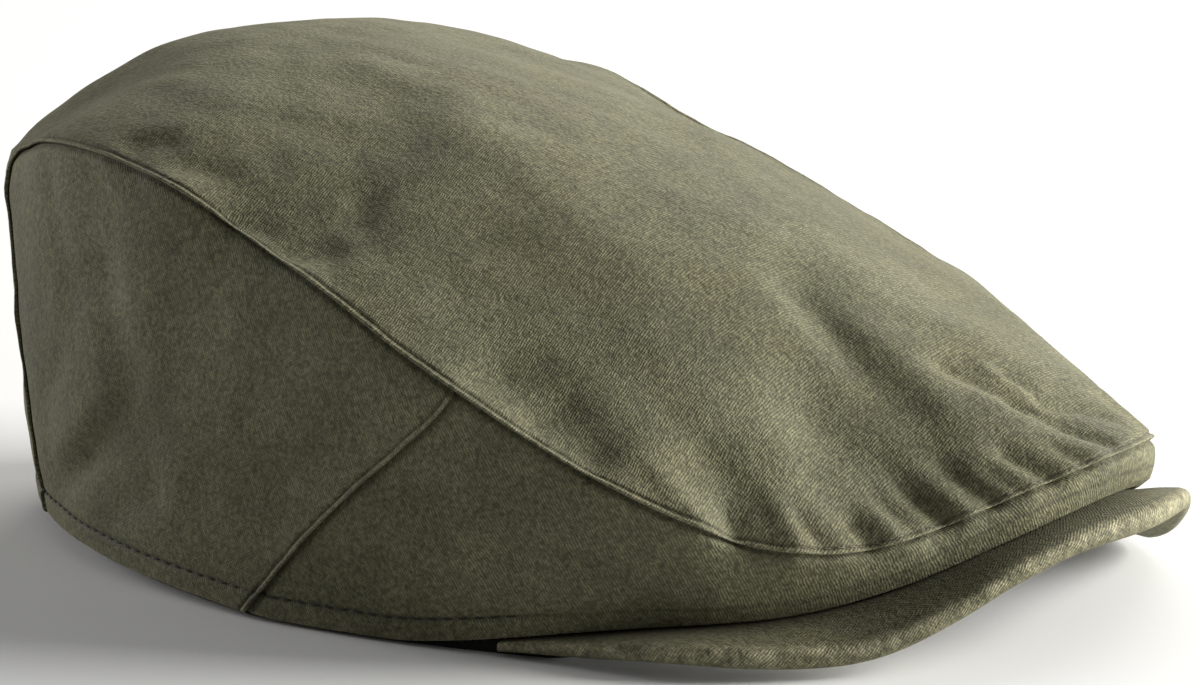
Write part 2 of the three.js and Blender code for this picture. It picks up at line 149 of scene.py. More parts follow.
# Finer creases of the cloth, with width and depth in millimetres. A negative depth is a ridge.
CREASES = table(
    "angle level to_angle to_level width depth mirror",
    (51, 1.008, 50.5, 1.03, 1.9, 1.4, 0.5),
    (50, 1.04, 50, 1.1, 6.0, -1.3, 0.6),
    (48, 1.05, 52, 1.13, 3.5, 0.4, 0.3),
    (55, 1.01, 57, 1.05, 2.6, -0.8, 0.5),
    (45, 1.01, 45, 1.045, 2.4, -0.8, 0.5),
    (42, 1.01, 43, 1.03, 2.0, 0.9, 0.6),
    (36.5, 1.005, 37, 1.03, 1.6, 1.1, 0.6),
    (37.5, 1.02, 38, 1.07, 5.0, -0.8, 0.6),
    (33.5, 1.01, 34, 1.03, 1.6, -0.7, 0.6),
    (31, 1.005, 31.5, 1.05, 1.8, 1.0, 0.5),
    (26.5, 1.005, 27.5, 1.055, 1.8, 1.2, 0.6),
    (23.5, 1.005, 24.5, 1.03, 1.5, -0.7, 0.6),
    (20, 1.005, 21.5, 1.055, 1.8, 1.2, 0.6),
    (16.5, 1.005, 17.5, 1.035, 1.6, 0.8, 0.6),
    (12, 1.005, 13.5, 1.05, 1.7, 1.0, 0.6),
    (6.5, 1.005, 7.5, 1.035, 1.6, 0.8, 0.4),
    (7, 1.17, 4, 1.1, 2.2, 0.9, 0),
    (4, 1.1, 0, 1.015, 1.8, 1.0, 0),
    (1, 1.15, -1, 1.1, 2.0, -0.7, 0),
    (-1.5, 1.13, -1, 1.09, 2.0, 0.9, 0),
    (-1, 1.09, -7, 1.04, 1.8, 0.9, 0),
    (17, 1.28, 19, 1.2, 5.0, 0.9, 0),
    (22, 1.3, 24, 1.17, 6.0, -0.5, 0),
    (13, 1.24, 15, 1.12, 5.0, -0.7, 0),
    (33, 1.13, 32, 1.07, 3.5, 0.3, 0),
    (40, 1.12, 41, 1.04, 5.0, -0.4, 0),
    (120, 1.09, 117, 1.14, 3.0, 0.8, 0.4),
    (112, 1.1, 108, 1.13, 3.5, 0.7, 0.4),
    (105, 1.03, 101, 1.07, 3.0, 0.8, 0.4),
    (97, 1.05, 92, 1.12, 4.0, 0.9, 0.3),
    (85, 1.28, 83, 1.34, 4.0, 0.9, 0),
    (75, 1.05, 71, 1.1, 3.5, 0.7, 0.4),
    (68, 1.06, 64, 1.1, 3.5, 0.8, 0.4),
    (64, 1.02, 62, 1.06, 3.0, 0.8, 0.4),
    (125, 0.95, 121, 0.87, 3.0, 0.4, 0.4),
    (124, 0.74, 122, 0.6, 4.5, 0.8, 0.3),
    (133, 0.92, 130, 0.6, 4.0, 0.7, 0.4),
    (128, 0.66, 119, 0.5, 4.5, 0.7, 0.3),
    (141, 0.3, 133, 0.46, 4.0, 0.7, 0.4),
    (118, 0.98, 117, 0.86, 3.0, 0.35, 0.4),
    (139, 0.1, 130, 0.22, 3.0, 1.2, 0.5),
    (138, 0.2, 128, 0.33, 3.5, -1.1, 0.5),
    (130, 0.22, 121, 0.4, 4.5, 1.0, 0.4),
    (124, 0.12, 116, 0.22, 2.6, 0.6, 0.5),
    (110, 0.3, 96, 0.42, 5.0, 0.3, 0.4),
    (88, 0.2, 74, 0.34, 5.0, 0.4, 0.4),
    (84, 0.62, 72, 0.5, 5.0, 0.35, 0.4),
    (60, 0.5, 46, 0.45, 3.0, 0.35, 0.4),
)

# Seams and hems of the cloth, in millimetres
WELT_LIFT = 0.3
WELT_FADE = 4.0
BEAD_AT = 0.35
BEAD_LIFT = 0.3
BEAD_WIDTH = 0.32
STITCH_AT = 1.15
STITCH_GROOVE = 0.3
STITCH_GROOVE_WIDTH = 0.28
TUCK = 1.2
TUCK_DEPTH = 0.15
CREASE_DEPTH = 0.55
CREASE_WIDTH = 1.0
HEM_ALLOWANCE = 4.7
HEM_PUFF = 0.3
HEM_PUFF_ABOVE = 0.4
HEM_PUFF_BELOW = 0.6
HEM_GROOVE = 0.35
HEM_GROOVE_WIDTH = 0.45
HEM_ROUND = 1.1
HEM_ENDS_FROM = 64
HEM_ENDS_TO = 72
PUCKER_DEPTH = 0.42
PUCKER_FADE = 5.0
PUCKER_LENGTH = 5.0

# Soft unevenness: size and depth of each set of waves, and its least share at the stiff hem
WAVES = table("size depth", (46, 1.1), (17, 0.7), (7.5, 0.24))
LEAST_WAVES = 0.25


def smooth_column(rows, name):
    """A column with evenly spaced rows, as a smooth even function of the angle."""
    values = rows[name]
    last = len(values) - 1
    waves = np.arange(last + 1)
    ends = np.where((waves == 0) | (waves == last), 0.5, 1.0)
    turns = np.cos(np.pi * np.outer(waves, waves) / last)
    weights = 2 * ends * (turns @ (ends * values)) / last
    span = rows["angle"][-1]

    def value(angle):
        return np.cos(np.pi * np.multiply.outer(np.asarray(angle, float), waves) / span) @ weights

    return value


hem_share = smooth_column(SECTIONS, "hem")
lift_share = smooth_column(SECTIONS, "lift")
ridge_share = smooth_column(SECTIONS, "ridge")
wall_share = smooth_column(SECTIONS, "wall")
roundness = smooth_column(SECTIONS, "round")
softness = smooth_column(SECTIONS, "soft")
peak_share = smooth_column(PEAK_SECTIONS, "width")
peak_dip = smooth_column(PEAK_SECTIONS, "dip")


def length_of(vectors):
    return np.linalg.norm(vectors, axis=-1)


def unit(vectors):
    return vectors / np.maximum(length_of(vectors), 1e-9)[..., None]


def smoothstep(low, high, value):
    share = np.clip((value - low) / (high - low), 0, 1)
    return share * share * (3 - 2 * share)


def bump(value, centre, width):
    """A bell curve of height 1."""
    return np.exp(-(((value - centre) / width) ** 2))


def oval(angle, share, z):
    turn = np.radians(angle)
    x = -np.sin(turn) * HEM_WIDTH / 2 * share
    y = -np.cos(turn) * HEM_LENGTH / 2 * share
    return np.stack([x, y, z + 0 * turn], -1)


def hem_lift(angle):
    return FRONT_RISE * np.maximum(0, lift_share(angle))


def hem_point(angle):
    return oval(angle, hem_share(angle), HEM_LIFT + hem_lift(angle))


def ridge_point(angle):
    rise = HEM_LIFT + hem_lift(angle) + CROWN_HEIGHT * wall_share(angle)
    return oval(angle, ridge_share(angle), rise)


def turned_down(reach, power):
    """How far the crown has turned down at a share of the way from its top to the seam line."""
    def turned(share):
        return np.hypot(share, CROWN_TOP_SOFTNESS) ** power - CROWN_TOP_SOFTNESS**power

    return turned(reach) / turned(1.0)


def sharp_crown(angle, level):
    """The crown's outer surface without folds, with a sharp bend at the seam line."""
    ridge = ridge_point(angle)
    hem = hem_point(angle)
    up = np.clip(level, 0, 1)[..., None]
    outward = unit(ridge * [1, 1, 0])
    height = ridge[..., 2] - hem[..., 2]
    bulge = WALL_BULGE * np.clip(height / FULL_BULGE_HEIGHT, LEAST_BULGE, 1)[..., None]
    wall = hem + (ridge - hem) * up + outward * bulge * 4 * up * (1 - up)
    reach = np.clip(2 - level, 0, 1)
    top = np.array([0, CROWN_TOP_BACK, CROWN_HEIGHT])
    dome = top + (ridge - top) * reach[..., None]
    span = np.hypot(ridge[..., 0], ridge[..., 1] - CROWN_TOP_BACK)
    bowl = span**2 / (2 * CROWN_TOP_RADIUS)
    rest = CROWN_HEIGHT - ridge[..., 2] - bowl
    dome[..., 2] = CROWN_HEIGHT - bowl * reach**2 - rest * turned_down(reach, roundness(angle))
    return np.where((level <= 1)[..., None], wall, dome)


def wall_length(angle):
    one = np.ones_like(angle)
    return length_of(sharp_crown(angle, one) - sharp_crown(angle, 0 * one))


def dome_length(angle):
    one = np.ones_like(angle)
    return length_of(sharp_crown(angle, one) - sharp_crown(angle, 2 * one))


def distance_up(angle, level):
    """Distance up the cloth from the seam line in millimetres, negative on the wall."""
    return (level - 1) * np.where(level > 1, dome_length(angle), wall_length(angle))


def level_at(angle, distance):
    longest = np.where(distance > 0, dome_length(angle), wall_length(angle))
    return np.clip(1 + distance / longest, 0, 2)


def crown(angle, level):
    """The crown's outer surface with its bend eased."""
    distance = distance_up(angle, level)
    reach = BEND_REACH * softness(angle)
    spread = reach * np.maximum(0, 1 - (distance / (BEND_FADE * reach)) ** 2)
    below = sharp_crown(angle, level_at(angle, distance - spread))
    above = sharp_crown(angle, level_at(angle, distance + spread))
    return 0.5 * sharp_crown(angle, level) + 0.25 * (below + above)


def outward_at(angle, level):
    distance = distance_up(angle, level)
    along = crown(angle + ANGLE_STEP, level) - crown(angle - ANGLE_STEP, level)
    above = crown(angle, level_at(angle, distance + STEP))
    below = crown(angle, level_at(angle, distance - STEP))
    outward = unit(np.cross(above - below, along))
    near_top = distance > dome_length(angle) - 2 * STEP
    return np.where(near_top[..., None], np.array([0.0, 0.0, 1.0]), outward)


def valleys(rows, width_unit, depth_unit):
    """Each row of a fold table on its own side, and its fainter copy on the other side."""
    found = []
    for angle, level, to_angle, to_level, width, depth, mirror in zip(*rows.values()):
        for side, share in ((1, 1.0), (-1, mirror)):
            if share:
                angles = np.array([angle, to_angle]) * side
                start, end = crown(angles, np.array([level, to_level]))
                found.append((start, end, width * width_unit, depth * depth_unit * share))
    return found


def pressed(points, level, folds):
    """How deep folds press into the cloth at points. They fade out at the stiff hem."""
    depth = np.zeros(len(points))
    for start, end, width, deep in folds:
        line = end - start
        share = np.clip((points - start) @ line / (line @ line), 0, 1)
        nearest = start + share[:, None] * line
        depth += deep * np.exp(-((length_of(points - nearest) / width) ** 2))
    return depth * np.clip(level / FOLD_FREE_LEVEL, 0, 1)


main_folds = valleys(FOLDS, FOLD_WIDTH, FOLD_DEPTH)
fine_creases = valleys(CREASES, 1, 1)


def round_corner(angle, level):
    """Places near the rear corner, moved so that the seam turns round it."""
    side = np.where(angle < 0, -1.0, 1.0)
    seam = np.array([REAR_SEAM, REAR_SEAM - 1.0])
    corner = crown(seam, np.ones(2))
    per_degree = length_of(corner[0] - corner[1])
    rear = np.full_like(angle, REAR_SEAM)
    across = (np.abs(angle) - REAR_SEAM) * per_degree
    upward = distance_up(rear, level)
    distance = np.hypot(across, upward)
    near = distance < CORNER_RADIUS
    pull = CORNER_PULL * np.maximum(0, 1 - distance / CORNER_RADIUS) ** 2
    placed_angle = np.where(near, angle - side * pull / per_degree, angle)
    placed_level = np.where(near, level_at(rear, upward - pull), level)
    return placed_angle, placed_level


def uneven(points):
    """The soft unevenness of the cloth at points."""
    height = np.zeros(len(points))
    for k, (size, depth) in enumerate(zip(WAVES["size"], WAVES["depth"])):
        shift = Vector((11.3 * k, 4.7, 2.9 * k))
        values = [noise.noise(Vector(point) / size + shift) for point in points]
        height += depth * np.array(values)
    return height


def base_cloth(angle, level):
    """Points of the folded cloth, and the outward directions there."""
    angle, level = round_corner(angle, level)
    plain = crown(angle, level)
    outward = outward_at(angle, level)
    stiff = np.clip(level / FOLD_FREE_LEVEL, LEAST_WAVES, 1)
    depth = pressed(plain, level, main_folds) + pressed(plain, level, fine_creases)
    height = uneven(plain) * stiff - depth
    return plain + outward * height[:, None], outward


# Seam lines: millimetres between their points, and how many places they start from
SEAM_STEP = 0.15
SEAM_REAR_PLACES = 60
SEAM_ROUND_PLACES = 500
SEAM_SLANT_PLACES = 80


def slant_seam(level):
    return SLANT_SEAM_AT_TOP + (SLANT_SEAM_AT_HEM - SLANT_SEAM_AT_TOP) * (1 - level) ** SLANT_CURVE


def even_line(angle, level):
    """A line of places made even, and its points."""
    points, _ = base_cloth(angle, level)
    along = np.concatenate([[0], np.cumsum(length_of(np.diff(points, axis=0)))])
    even = np.arange(0, along[-1], SEAM_STEP)
    angle = np.interp(even, along, angle)
    level = np.interp(even, along, level)
    return angle, level, base_cloth(angle, level)[0]


class Seam:
    """A seam line, and how far points are from it and along it."""

    def __init__(self, angle, level):
        self.angle, self.level, self.points = even_line(angle, level)
        self.tree = kdtree.KDTree(len(self.points))
        for k, point in enumerate(self.points):
            self.tree.insert(point, k)
        self.tree.balance()

    def nearest(self, points):
        found = [self.tree.find(point) for point in points]
        distance = np.array([row[2] for row in found])
        along = np.array([row[1] for row in found]) * SEAM_STEP
        return np.sqrt(np.maximum(0, distance**2 - (SEAM_STEP / 4) ** 2)), along


def top_seam_places():
    """The top panel's border: up one rear seam, round the front and down the other rear seam."""
    rise = np.linspace(0, 1, SEAM_REAR_PLACES)
    sweep = np.linspace(-REAR_SEAM, REAR_SEAM, SEAM_ROUND_PLACES)[1:-1]
    rear = np.full(SEAM_REAR_PLACES, REAR_SEAM)
    angle = np.concatenate([-rear, sweep, rear])
    level = np.concatenate([rise, np.ones(len(sweep)), rise[::-1]])
    return angle, level


slant_levels = np.linspace(0, 1, SEAM_SLANT_PLACES)
top_seam = Seam(*top_seam_places())
slant_seams = {side: Seam(side * slant_seam(slant_levels), slant_levels) for side in (1, -1)}


def pucker(distance, along):
    """Small gathers along a seam, drawn in by its stitches."""
    values = [noise.noise(Vector((place / PUCKER_LENGTH, 7.7, 0.0))) for place in along]
    return PUCKER_DEPTH * np.array(values) * np.exp(-distance / PUCKER_FADE)


def over_height(distance):
    """Height of the upper cloth of a seam above the plain surface: a bead, a groove and a fade."""
    lift = WELT_LIFT * np.exp(-((distance / WELT_FADE) ** 2))
    bead = BEAD_LIFT * bump(distance, BEAD_AT, BEAD_WIDTH)
    return lift + bead - STITCH_GROOVE * bump(distance, STITCH_AT, STITCH_GROOVE_WIDTH)


def under_height(distance):
    """Height of the lower cloth of a seam, at a distance that is negative under the upper cloth."""
    crease = CREASE_DEPTH * np.exp(-((np.maximum(0, distance) / CREASE_WIDTH) ** 2))
    shown = crease + TUCK_DEPTH * bump(distance, 0, 1)
    return -np.where(distance < 0, TUCK_DEPTH + CREASE_DEPTH, shown)


def hem_height(distance, angle):
    """Height of the hem at a distance above its lower edge, with its fold, puff and groove."""
    free = smoothstep(HEM_ENDS_FROM, HEM_ENDS_TO, np.abs(angle))
    puff_top = HEM_ALLOWANCE + HEM_PUFF_ABOVE
    puff = HEM_PUFF * smoothstep(puff_top, HEM_ALLOWANCE - HEM_PUFF_BELOW, distance)
    groove = HEM_GROOVE * bump(distance, HEM_ALLOWANCE, HEM_GROOVE_WIDTH)
    low = np.clip(1 - distance / HEM_ROUND, 0, 1)
    fold = HEM_ROUND * (1 - np.sqrt(np.maximum(0, 1 - low**2)))
    return free * (puff - groove) - fold


# The way from the shapes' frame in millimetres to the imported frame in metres
hem_back = HEM_LENGTH / 2 * float(hem_share(180.0)) - CLOTH - 2 * SEAM_GAP
OFFSET = np.array([0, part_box("sweatband")[1].y * 1000 - hem_back, 0])


def placed(points):
    return (points + OFFSET) / 1000


def make_object(name, points, faces, material, values=None, weave=None):
    """A smooth mesh object with named values on its points and a flat map for its weave."""
    mesh = bpy.data.meshes.new(name)
    mesh.from_pydata(placed(points).tolist(), [], faces)
    mesh.validate()
    mesh.polygons.foreach_set("use_smooth", [True] * len(mesh.polygons))
    for key, numbers in (values or {}).items():
        attribute = mesh.attributes.new(key, "FLOAT", "POINT")
        attribute.data.foreach_set("value", np.asarray(numbers, np.float32))
    if weave is not None:
        corners = np.zeros(len(mesh.loops), np.int32)
        mesh.loops.foreach_get("vertex_index", corners)
        layer = mesh.uv_layers.new(name="weave")
        layer.data.foreach_set("uv", np.asarray(weave, np.float32)[corners].ravel())
    mesh.materials.append(material)
    piece = bpy.data.objects.new(name, mesh)
    bpy.context.scene.collection.objects.link(piece)
    return piece


class Sheet:
    """A grid of places on the crown, made row by row."""

    def __init__(self):
        self.angles = []
        self.levels = []
        self.faces = []
        self.count = 0

    def row(self, angles, levels):
        self.angles.append(angles)
        self.levels.append(levels)
        first = self.count
        self.count += len(angles)
        return list(range(first, self.count))

    def join(self, lower, upper):
        """Faces between two rows, the upper with as many columns as the lower or half as many."""
        if len(upper) == len(lower):
            for k in range(len(upper) - 1):
                self.faces.append([lower[k], upper[k], upper[k + 1], lower[k + 1]])
            return
        for k in range(len(upper) - 1):
            a, b, c = lower[2 * k : 2 * k + 3]
            self.faces.append([a, upper[k], b])
            self.faces.append([b, upper[k], upper[k + 1]])
            self.faces.append([b, upper[k + 1], c])

    def places(self):
        return np.concatenate(self.angles), np.concatenate(self.levels)


def ring_faces(first, rings, sides):
    """Faces between closed rings of points, from a first point on."""
    starts = [first + ring * sides for ring in range(rings)]
    pairs = [(start + k, start + (k + 1) % sides) for start in starts for k in range(sides)]
    return [[a, a + sides, b + sides, b] for a, b in pairs]


def tube_faces(first, rings, sides):
    end = first + rings * sides
    caps = [list(range(first, first + sides)), list(reversed(range(end, end + sides)))]
    return ring_faces(first, rings, sides) + caps


RIM_BULGE = 0.35


def rim_of(faces):
    """The directed edges that only one face has."""
    edges = set()
    for face in faces:
        for a, b in zip(face, face[1:] + face[:1]):
            edges.add((a, b))
    return [edge for edge in sorted(edges) if edge[::-1] not in edges]


def closed_shell(outer, inner, faces):
    """A closed body from two skins with the same faces, with a rounded rim between them."""
    count = len(outer)
    rim = rim_of(faces)
    edge_points = sorted({k for edge in rim for k in edge})
    middle = {k: 2 * count + place for place, k in enumerate(edge_points)}
    outside = {k: np.zeros(3) for k in edge_points}
    for a, b in rim:
        across = unit(np.cross(outer[b] - outer[a], inner[a] - outer[a]))
        outside[a] = outside[a] + across
        outside[b] = outside[b] + across
    middles = []
    for k in edge_points:
        depth = np.linalg.norm(outer[k] - inner[k])
        middles.append((outer[k] + inner[k]) / 2 + unit(outside[k]) * depth * RIM_BULGE)
    all_faces = [list(face) for face in faces]
    all_faces += [[k + count for k in reversed(face)] for face in faces]
    for a, b in rim:
        all_faces.append([b, a, middle[a], middle[b]])
        all_faces.append([middle[b], middle[a], a + count, b + count])
    return np.concatenate([outer, inner, np.array(middles)]), all_faces, edge_points


def on_shell(numbers, rim):
    """Values of a sheet's places, spread over both skins of its shell and the rim."""
    return np.concatenate([numbers, numbers, numbers[rim]])


def finish_piece(name, points, faces, material, values, weave):
    """The visual stand-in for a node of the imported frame."""
    piece = make_object(name + "_cloth", points, faces, material, values, weave)
    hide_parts(name)
    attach(piece, "root")
    return piece


def cloth_piece(name, sheet, skins, values, weave, material):
    """A panel as a closed shell, from its sheet and its two skins."""
    points, faces, rim = closed_shell(skins[0], skins[1], sheet.faces)
    spread = {key: on_shell(numbers, rim) for key, numbers in values.items()}
    return finish_piece(name, points, faces, material, spread, on_shell(weave, rim))


def skins_of(base, outward, outer, inner):
    """Two skins at heights above the folded cloth."""
    return base + outward * outer[:, None], base + outward * inner[:, None]


# Distances from an edge at which the grids have their lines, in millimetres
OVER_LINES = [0, 0.2, 0.4, 0.6, 0.8, 1.0, 1.2, 1.35, 1.5, 1.7, 2.0, 2.5, 3.2, 4.2, 5.5, 7.2]
UNDER_LINES = [-TUCK, -0.5, -0.1, 0.05, 0.2, 0.45, 0.8, 1.2, 1.8, 2.6, 3.8, 5.4]
HEM_LINES = [0, 0.05, 0.2, 0.45, 0.8, 1.2, 2.0, 3.0, 3.7, 4.1, 4.4, 4.7, 5.0, 5.3, 5.8, 6.8]

# Where the wall is lower than this, its lines' distances shrink with it, down to a least share
SQUEEZE_WALL = 24
SQUEEZE_LEAST = 0.4
LEVEL_ROUNDS = 8

# Distances beside a slanting seam are this much longer along the hem
SLANT_SPREAD = 1.5

# Columns and rows. A stage of the dome is its end, as a share of the way up, and its rows.
RING_SIDE_COLUMNS = 336
RING_BACK_COLUMNS = 80
DOME_STAGES = ((0.5, 44), (0.78, 20), (0.9, 8), (0.96, 4))
FLAP_ROWS = 40
FRONT_GRID = (230, 24)
REAR_GRID = (62, 36)

# How far round the head an angle is, along the hem, in millimetres
ARC_ANGLES = np.linspace(-180, 180, 721)
ARC_POINTS = oval(ARC_ANGLES, 1.0, 0.0)
ARC_LENGTHS = np.concatenate([[0], np.cumsum(length_of(np.diff(ARC_POINTS, axis=0)))])
ARC_LENGTHS -= ARC_LENGTHS[len(ARC_LENGTHS) // 2]


def arc(angle):
    return np.interp(angle, ARC_ANGLES, ARC_LENGTHS)


def turn_by(angle, distance):
    """The angle at a distance along the hem from an angle."""
    return np.interp(arc(angle) + distance, ARC_LENGTHS, ARC_ANGLES)


def dome_weave(angle, level):
    """Flat places on the top panel, as if it was spread out round the crown's top."""
    ridge = ridge_point(angle)
    way = unit((ridge - [0, CROWN_TOP_BACK, 0]) * [1, 1, 0])[:, :2]
    on_dome = dome_length(angle) * np.clip(2 - level, 0, 1)
    on_wall = wall_length(angle) * np.clip(1 - level, 0, 1)
    return way * (on_dome + on_wall)[:, None]


def wall_weave(angle, level):
    return np.stack([arc(angle), wall_length(angle) * level], -1)


def hem_distance(angle, level):
    return wall_length(angle) * level


# The panels' inner skins, in millimetres: an upper cloth is thin where it lies on another one
LAP_DEPTH = 0.05
LAP_FADE = 2.5
REAR_CLOTH = 1.35
UNDER_CLOTH = 1.2
LEAST_CLOTH = 0.45
HEM_CLOTH = 0.5
HEM_CLOTH_REACH = 9

# Distances below a seam at which the lower cloth and its gathers come free of it
FREE_FROM = 0.2
FREE_TO = 3.0
GATHERS_FREE = 2

# Worn edges, and painted shade in creases and grooves: how far each is from its seam or hem, how wide,
# and how strong
SEAM_WORN = (BEAD_AT, 0.5)
HEM_WORN = (0, 1.2)
STITCH_PAINTED_SHADE = (STITCH_AT, 0.35)
SEAM_PAINTED_SHADE = (0, 0.8)
HEM_PAINTED_SHADE = (HEM_ALLOWANCE, 0.5)
SEAM_WEAR = 0.4
HEM_WEAR = 0.6
FRONT_WEAR = 0.5

# A distance that is out of reach of every seam and hem, in millimetres
FAR = 99.0


def lapped(distance, depth):
    """The inner skin of an upper cloth that is so deep away from its seam."""
    tucked = smoothstep(STITCH_AT, STITCH_AT + LAP_FADE, distance)
    return -LAP_DEPTH - (depth - LAP_DEPTH) * tucked


def top_panel(material):
    """The crown and the back in one sheet: rings of the dome, and a flap between the rear seams."""
    sheet = Sheet()
    sides = np.linspace(-REAR_SEAM, REAR_SEAM, RING_SIDE_COLUMNS + 1)
    edge = arc(np.array(180.0)) - arc(np.array(float(REAR_SEAM)))
    near = np.array(OVER_LINES)
    middle = np.linspace(near[-1], 2 * edge - near[-1], RING_BACK_COLUMNS - 2 * len(near) + 3)[1:-1]
    across = np.concatenate([near, middle, 2 * edge - near[::-1]])
    half = across <= edge
    back = np.where(half, turn_by(float(REAR_SEAM), np.minimum(across, edge)), 0)
    back[~half] = -turn_by(float(REAR_SEAM), 2 * edge - across[~half])
    ring = np.concatenate([sides, back[1:-1]])

    def dome_row(angles, distances):
        row = sheet.row(angles, level_at(angles, distances))
        return row + row[:1]

    below = dome_row(ring, 0 * ring)
    seam_row = below
    for distance in OVER_LINES[1:]:
        above = dome_row(ring, distance + 0 * ring)
        sheet.join(below, above)
        below = above
    last = OVER_LINES[-1]
    start = 0
    angles = ring
    for end, rows in DOME_STAGES:
        for k in range(rows):
            share = start + (end - start) * (k + 1) / rows
            above = dome_row(angles, last + share * (dome_length(angles) - last))
            sheet.join(below, above)
            below = above
        start = end
        angles = angles[::2]
    top = sheet.row(np.array([0.0]), np.array([2.0]))[0]
    for k in range(len(below) - 1):
        sheet.faces.append([below[k], top, below[k + 1]])
    upper = seam_row[RING_SIDE_COLUMNS:]
    walls = wall_length(back)
    shares = np.linspace(1, 0, FLAP_ROWS + 1)[1:]
    heights = [HEM_LINES[-1] + share * (walls - HEM_LINES[-1]) for share in shares]
    heights += [0 * walls + line for line in reversed(HEM_LINES[:-1])]
    for height in heights:
        lower = sheet.row(back, height / walls)
        sheet.join(lower, upper)
        upper = lower
    angle, level = sheet.places()
    base, outward = base_cloth(angle, level)
    distance, along = top_seam.nearest(base)
    above_hem = np.where(level <= 1, hem_distance(angle, level), FAR)
    outer = over_height(distance) + pucker(distance, along) + hem_height(above_hem, angle)
    inner = lapped(distance, CLOTH)
    inner = np.where(above_hem < HEM_CLOTH_REACH, np.minimum(inner, outer - HEM_CLOTH), inner)
    values = {
        "wear": SEAM_WEAR * bump(distance, *SEAM_WORN) + HEM_WEAR * bump(above_hem, *HEM_WORN),
        # Painted shade: darker in the stitch groove beside the seam and in the hem groove.
        "painted_shade": bump(distance, *STITCH_PAINTED_SHADE) + bump(above_hem, *HEM_PAINTED_SHADE),
    }
    skins = skins_of(base, outward, outer, inner)
    return cloth_piece("top_panel", sheet, skins, values, dome_weave(angle, level), material)


def grid_lines(low_lines, middle_count, high_lines):
    """Lines of a grid as shares of the way between two edges plus millimetres from them."""
    low = [(0.0, line) for line in low_lines]
    high = [(1.0, -line) for line in reversed(high_lines)]
    from_mm, to_mm = low[-1][1], high[0][1]
    middle = []
    for k in range(1, middle_count):
        share = k / middle_count
        middle.append((share, from_mm + (to_mm - from_mm) * share))
    return np.array(low + middle + high)


def wall_sheet(columns, rows, left_edge, right_edge):
    """A sheet of the wall between two edges, each an angle worked out from a level."""
    share_across, across = columns[:, 0][None, :], columns[:, 1][None, :]
    share_up, up = rows[:, 0][:, None], rows[:, 1][:, None]
    level = share_up + 0 * share_across
    angle = 0 * level
    for _ in range(LEVEL_ROUNDS):
        inside = np.clip(level, 0, 1)
        left, right = left_edge(inside), right_edge(inside)
        start = arc(left)
        angle = turn_by(0.0, start + share_across * (arc(right) - start) + across)
        wall = wall_length(angle)
        squeeze = np.clip(wall / SQUEEZE_WALL, SQUEEZE_LEAST, 1)
        level = level_at(angle, (share_up - 1) * wall + up * squeeze)
    sheet = Sheet()
    numbers = [sheet.row(angle[k], level[k]) for k in range(len(rows))]
    for lower, upper in zip(numbers, numbers[1:]):
        sheet.join(lower, upper)
    return sheet


def front_panel(material):
    """The panel round the forehead, tucked under the top panel and under both rear panels."""
    side_lines = [SLANT_SPREAD * line for line in UNDER_LINES]
    columns = grid_lines(side_lines, FRONT_GRID[0], side_lines)
    rows = grid_lines(HEM_LINES, FRONT_GRID[1], UNDER_LINES)
    sheet = wall_sheet(columns, rows, lambda level: -slant_seam(level), slant_seam)
    angle, level = sheet.places()
    base, outward = base_cloth(angle, level)
    above, along = top_seam.nearest(base)
    above = np.where(level > 1, -above, above)
    beside = np.full(len(angle), FAR)
    for side, seam in slant_seams.items():
        distance, _ = seam.nearest(base)
        within = side * angle < slant_seam(np.clip(level, 0, 1))
        beside = np.minimum(beside, np.where(within, distance, -distance))
    above_hem = hem_distance(angle, level)
    outer = under_height(above) + under_height(beside) + hem_height(above_hem, angle)
    outer += pucker(np.abs(above), along) * smoothstep(0, GATHERS_FREE, above)
    values = {
        "wear": FRONT_WEAR * bump(above_hem, *HEM_WORN),
        # Painted shade: darker just below the top seam and beside the slanting seams, under the upper
        # cloth's edge, and in the hem groove.
        "painted_shade": bump(above, *SEAM_PAINTED_SHADE) + bump(beside, *SEAM_PAINTED_SHADE) + bump(above_hem, *HEM_PAINTED_SHADE),
    }
    skins = skins_of(base, outward, outer, outer - UNDER_CLOTH)
    return cloth_piece("front_panel", sheet, skins, values, wall_weave(angle, level), material)


def rear_panel(name, side, material):
    """A side panel, laid over the front panel's edge and tucked under the top panel's."""
    over = [SLANT_SPREAD * line for line in OVER_LINES]
    columns = grid_lines(over, REAR_GRID[0], UNDER_LINES)
    rows = grid_lines(HEM_LINES, REAR_GRID[1], UNDER_LINES)
    sheet = wall_sheet(columns, rows, slant_seam, lambda level: REAR_SEAM + 0 * level)
    if side < 0:
        sheet.angles = [-row for row in sheet.angles]
        sheet.faces = [face[::-1] for face in sheet.faces]
    angle, level = sheet.places()
    base, outward = base_cloth(angle, level)
    above, along = top_seam.nearest(base)
    outside = (level > 1) | (np.abs(angle) > REAR_SEAM)
    above = np.where(outside, -above, above)
    beside, beside_along = slant_seams[side].nearest(base)
    free = smoothstep(FREE_FROM, FREE_TO, above)
    above_hem = hem_distance(angle, level)
    outer = under_height(above) + over_height(beside) * free + hem_height(above_hem, angle)
    outer += pucker(np.abs(above), along) * free + pucker(beside, beside_along) * free
    inner = np.where(free > 0.5, lapped(beside, REAR_CLOTH), outer - UNDER_CLOTH)
    inner = np.minimum(inner, outer - LEAST_CLOTH)
    values = {
        "wear": SEAM_WEAR * bump(beside, *SEAM_WORN) * free + HEM_WEAR * bump(above_hem, *HEM_WORN),
        # Painted shade: darker just below the top seam, in the stitch groove beside the slanting seam
        # and in the hem groove.
        "painted_shade": bump(above, *SEAM_PAINTED_SHADE) + bump(beside, *STITCH_PAINTED_SHADE) + bump(above_hem, *HEM_PAINTED_SHADE),
    }
    skins = skins_of(base, outward, outer, inner)
    return cloth_piece(name, sheet, skins, values, wall_weave(angle, level), material)


